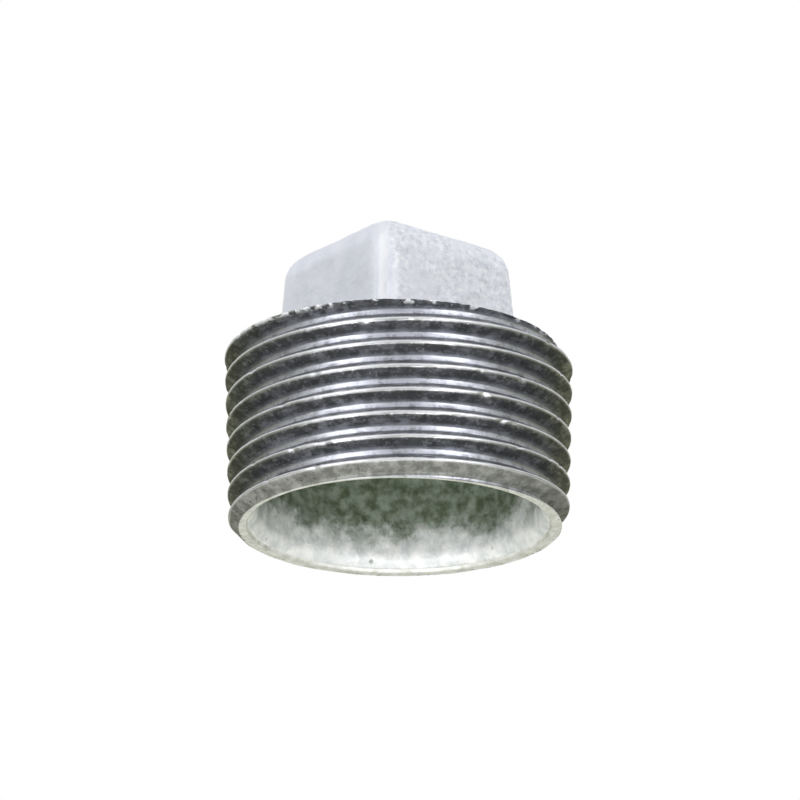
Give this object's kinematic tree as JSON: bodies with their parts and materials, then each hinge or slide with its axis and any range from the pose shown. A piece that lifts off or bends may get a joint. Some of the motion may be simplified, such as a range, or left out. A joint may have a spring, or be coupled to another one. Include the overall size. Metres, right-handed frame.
{
  "type": "square-head pipe plug",
  "caption": "Hollow square-head pipe plug with an external taper pipe thread, galvanised over the head and inside the hollow.",
  "frame": {"origin": "centre of the open, threaded end face, which is the face the plug stands on", "axes": "+Z along the thread axis from the open end to the square head; +X and +Y square to the head's flats"},
  "size_m": [0.0338, 0.0338, 0.0284],
  "materials": {
    "malleable_iron": "freshly cut thread and faced end, bare and lightly oiled",
    "zinc_coat": "hot-dip galvanised, pale and slightly lumpy"
  },
  "bodies": {
    "root": {"plug_casting": "malleable_iron", "zinc_coat_head": "zinc_coat", "zinc_coat_hollow": "zinc_coat"}
  },
  "joints": []
}
